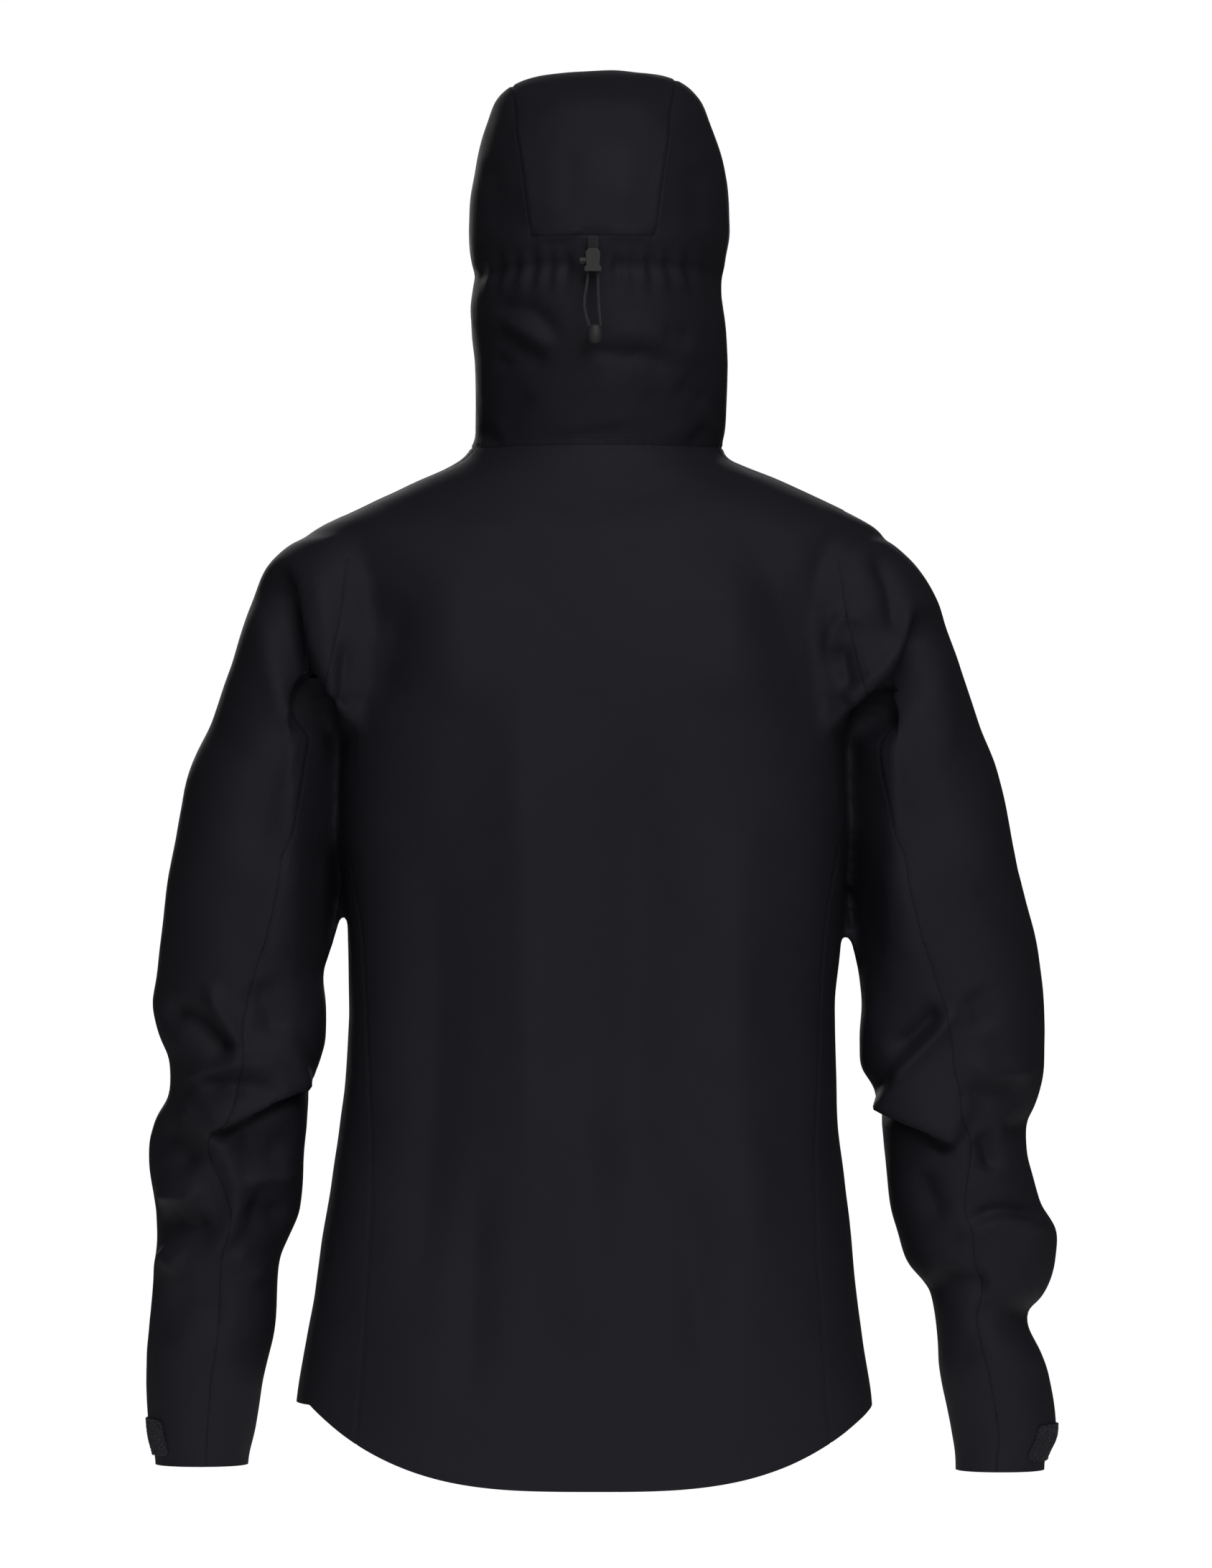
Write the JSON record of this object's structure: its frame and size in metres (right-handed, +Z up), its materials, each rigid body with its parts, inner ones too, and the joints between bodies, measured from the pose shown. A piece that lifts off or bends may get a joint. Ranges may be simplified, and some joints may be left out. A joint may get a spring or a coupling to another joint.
{
  "type": "hardshell jacket",
  "caption": "Hooded waterproof hardshell jacket, zipped up and filled as worn, with dropped back hem, adjustable cuffs and a corded hood.",
  "frame": {"origin": "middle of the hang loop's lower edge, inside the neck at the centre back", "axes": "+Z up towards the crown, +Y towards the wearer's back, +X towards the wearer's left"},
  "size_m": [0.6749, 0.2742, 1.0413],
  "materials": {
    "shell_fabric": "matte woven face of a waterproof laminate, near black",
    "lining_fabric": "matte knit backer, dark grey",
    "zip_tape": "coated zip tape with coil chain, black",
    "cuff_pile": "napped loop pile, charcoal",
    "webbing": "woven tape and braided cord, black",
    "moulded_plastic": "satin moulded acetal, black",
    "slider_metal": "black lacquer on zinc"
  },
  "bodies": {
    "body": {"back_panel": "shell_fabric", "front_panel_left": "shell_fabric", "front_panel_right": "shell_fabric", "side_panel_left": "shell_fabric", "side_panel_right": "shell_fabric", "hem_tunnel": "lining_fabric", "collar_left": "shell_fabric", "collar_right": "shell_fabric", "chin_guard": "lining_fabric", "hang_loop": "webbing", "neck_label": "lining_fabric", "main_zip_left": "zip_tape", "main_zip_right": "zip_tape", "main_zip_box": "moulded_plastic", "storm_flap": "lining_fabric", "pocket_zip_left": "zip_tape", "pocket_zip_right": "zip_tape", "pocket_bag_left": "lining_fabric", "pocket_bag_right": "lining_fabric", "hem_lock_left": "moulded_plastic", "hem_lock_right": "moulded_plastic"},
    "main_slider": {"main_zip_slider": "slider_metal"},
    "main_pull": {"main_zip_pull": "moulded_plastic"},
    "pocket_slider_left": {"pocket_slider_left": "slider_metal"},
    "pocket_pull_left": {"pocket_pull_left": "moulded_plastic"},
    "hem_button_left": {"hem_lock_button_left": "moulded_plastic"},
    "upper_arm_left": {"upper_sleeve_outer_left": "shell_fabric", "upper_sleeve_under_left": "shell_fabric"},
    "forearm_left": {"forearm_outer_left": "shell_fabric", "forearm_under_left": "shell_fabric", "cuff_band_left": "shell_fabric", "cuff_loop_patch_left": "cuff_pile"},
    "cuff_tab_left": {"cuff_tab_left": "shell_fabric", "cuff_hook_patch_left": "cuff_pile"},
    "pocket_slider_right": {"pocket_slider_right": "slider_metal"},
    "pocket_pull_right": {"pocket_pull_right": "moulded_plastic"},
    "hem_button_right": {"hem_lock_button_right": "moulded_plastic"},
    "upper_arm_right": {"upper_sleeve_outer_right": "shell_fabric", "upper_sleeve_under_right": "shell_fabric"},
    "forearm_right": {"forearm_outer_right": "shell_fabric", "forearm_under_right": "shell_fabric", "cuff_band_right": "shell_fabric", "cuff_loop_patch_right": "cuff_pile"},
    "cuff_tab_right": {"cuff_tab_right": "shell_fabric", "cuff_hook_patch_right": "cuff_pile"},
    "hood": {"hood_crown_panel": "shell_fabric", "hood_wrap_panel": "shell_fabric", "face_edge_tunnel": "lining_fabric", "hood_cord_channel": "lining_fabric", "hood_brim": "shell_fabric"},
    "hood_lock": {"hood_lock_tab": "webbing", "hood_lock_body": "moulded_plastic"},
    "lock_button": {"hood_lock_button": "moulded_plastic"},
    "lock_cord": {"hood_cord": "webbing", "hood_cord_end": "moulded_plastic"}
  },
  "joints": [
    {"name": "main_zip_travel", "type": "slide", "parent": "body", "child": "main_slider", "axis": [0, -0.0326, -0.9995], "range_m": [0, 0.738]},
    {"name": "main_pull_swing", "type": "hinge", "parent": "main_slider", "child": "main_pull", "pos_m": [0, -0.1848, 0.05852], "axis": [-1, 0, 0], "range_deg": [0, 100]},
    {"name": "pocket_zip_travel_left", "type": "slide", "parent": "body", "child": "pocket_slider_left", "axis": [0, -0.0391, -0.9992], "range_m": [0, 0.16]},
    {"name": "pocket_pull_swing_left", "type": "hinge", "parent": "pocket_slider_left", "child": "pocket_pull_left", "pos_m": [0.11341, -0.18162, -0.35861], "axis": [-0.9201, -0.3913, 0.0153], "range_deg": [0, 100]},
    {"name": "hem_button_press_left", "type": "slide", "parent": "body", "child": "hem_button_left", "axis": [-0.4848, 0.8746, 0], "range_m": [0, 0.0022], "stiffness_N_per_m": 400},
    {"name": "sleeve_raise_left", "type": "hinge", "parent": "body", "child": "upper_arm_left", "pos_m": [0.165, -0.0562, -0.053], "axis": [0, -1, 0], "range_deg": [0, 45]},
    {"name": "elbow_bend_left", "type": "hinge", "parent": "upper_arm_left", "child": "forearm_left", "pos_m": [0.257, -0.1312, -0.436], "axis": [-1, 0, 0], "range_deg": [0, 60]},
    {"name": "cuff_tab_peel_left", "type": "hinge", "parent": "forearm_left", "child": "cuff_tab_left", "pos_m": [0.2664, -0.129, -0.736], "axis": [0, 0, -1], "range_deg": [0, 100]},
    {"name": "pocket_zip_travel_right", "type": "slide", "parent": "body", "child": "pocket_slider_right", "axis": [0, -0.0391, -0.9992], "range_m": [0, 0.16]},
    {"name": "pocket_pull_swing_right", "type": "hinge", "parent": "pocket_slider_right", "child": "pocket_pull_right", "pos_m": [-0.11341, -0.18162, -0.35861], "axis": [-0.9201, 0.3913, -0.0153], "range_deg": [0, 100]},
    {"name": "hem_button_press_right", "type": "slide", "parent": "body", "child": "hem_button_right", "axis": [0.4848, 0.8746, 0], "range_m": [0, 0.0022], "stiffness_N_per_m": 400},
    {"name": "sleeve_raise_right", "type": "hinge", "parent": "body", "child": "upper_arm_right", "pos_m": [-0.165, -0.0562, -0.053], "axis": [0, 1, 0], "range_deg": [0, 45]},
    {"name": "elbow_bend_right", "type": "hinge", "parent": "upper_arm_right", "child": "forearm_right", "pos_m": [-0.2645, -0.1312, -0.436], "axis": [-1, 0, 0], "range_deg": [0, 60]},
    {"name": "cuff_tab_peel_right", "type": "hinge", "parent": "forearm_right", "child": "cuff_tab_right", "pos_m": [-0.2766, -0.127, -0.74], "axis": [0, 0, 1], "range_deg": [0, 100]},
    {"name": "hood_tilt", "type": "hinge", "parent": "body", "child": "hood", "pos_m": [0, 0.0158, -0.003], "axis": [-1, 0, 0], "range_deg": [0, 20]},
    {"name": "hood_lock_swing", "type": "hinge", "parent": "hood", "child": "hood_lock", "pos_m": [0, 0.0552, 0.148], "axis": [1, 0, 0], "range_deg": [0, 60]},
    {"name": "lock_button_press", "type": "slide", "parent": "hood_lock", "child": "lock_button", "axis": [-1, 0, 0], "range_m": [0, 0.003], "stiffness_N_per_m": 300},
    {"name": "lock_cord_swing", "type": "hinge", "parent": "hood_lock", "child": "lock_cord", "pos_m": [0, 0.0573, 0.1202], "axis": [1, 0, 0], "range_deg": [0, 60]}
  ]
}
